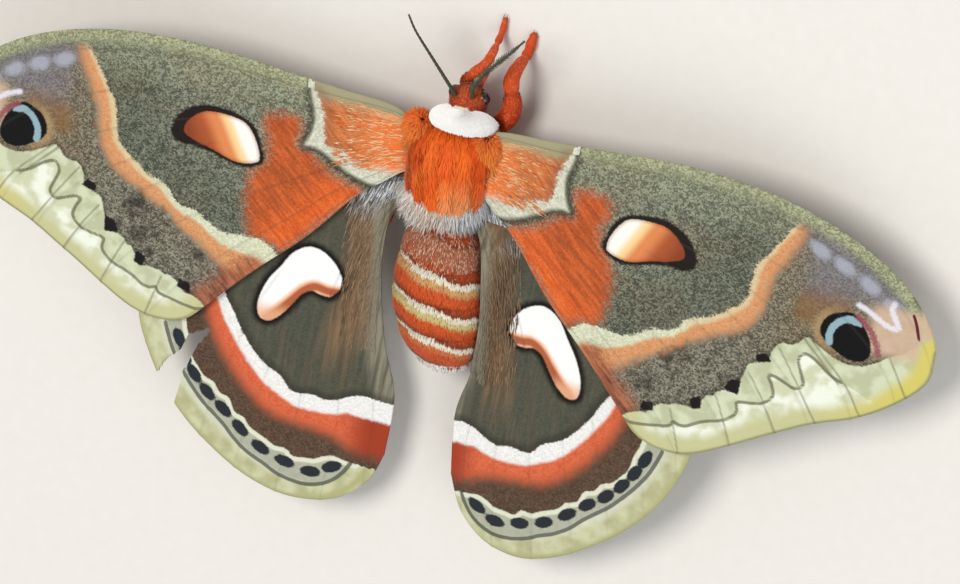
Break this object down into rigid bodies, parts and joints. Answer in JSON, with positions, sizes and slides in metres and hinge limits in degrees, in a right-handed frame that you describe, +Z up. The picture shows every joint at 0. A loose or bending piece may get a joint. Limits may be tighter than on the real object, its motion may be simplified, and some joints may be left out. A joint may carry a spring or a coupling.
{
  "type": "cecropia moth",
  "caption": "Life-size female cecropia moth standing with spread wings, furred body, feathered antennae and bent legs.",
  "frame": {"origin": "middle of the model's box in X and Y, on the floor that the feet stand on", "axes": "+X towards the moth's right wing, +Y towards her head, +Z up"},
  "size_m": [0.1438, 0.0764, 0.0146],
  "materials": {
    "head": "short fur",
    "collar": "soft white fur",
    "thorax": "long shaggy fur",
    "abdomen": "short banded fur",
    "eyes": "glossy",
    "antennae": "matt",
    "forewings": "fine matt scales",
    "hindwings": "fine matt scales",
    "legs": "short fur"
  },
  "bodies": {
    "root": {"head": "head", "collar": "collar", "thorax": "thorax", "abdomen": "abdomen", "eye_left": "eyes", "eye_right": "eyes", "antenna_left": "antennae", "antenna_right": "antennae", "forewing_left": "forewings", "forewing_right": "forewings", "hindwing_left": "hindwings", "hindwing_right": "hindwings", "foreleg_left": "legs", "foreleg_right": "legs", "midleg_left": "legs", "midleg_right": "legs", "hindleg_left": "legs", "hindleg_right": "legs"}
  },
  "joints": []
}
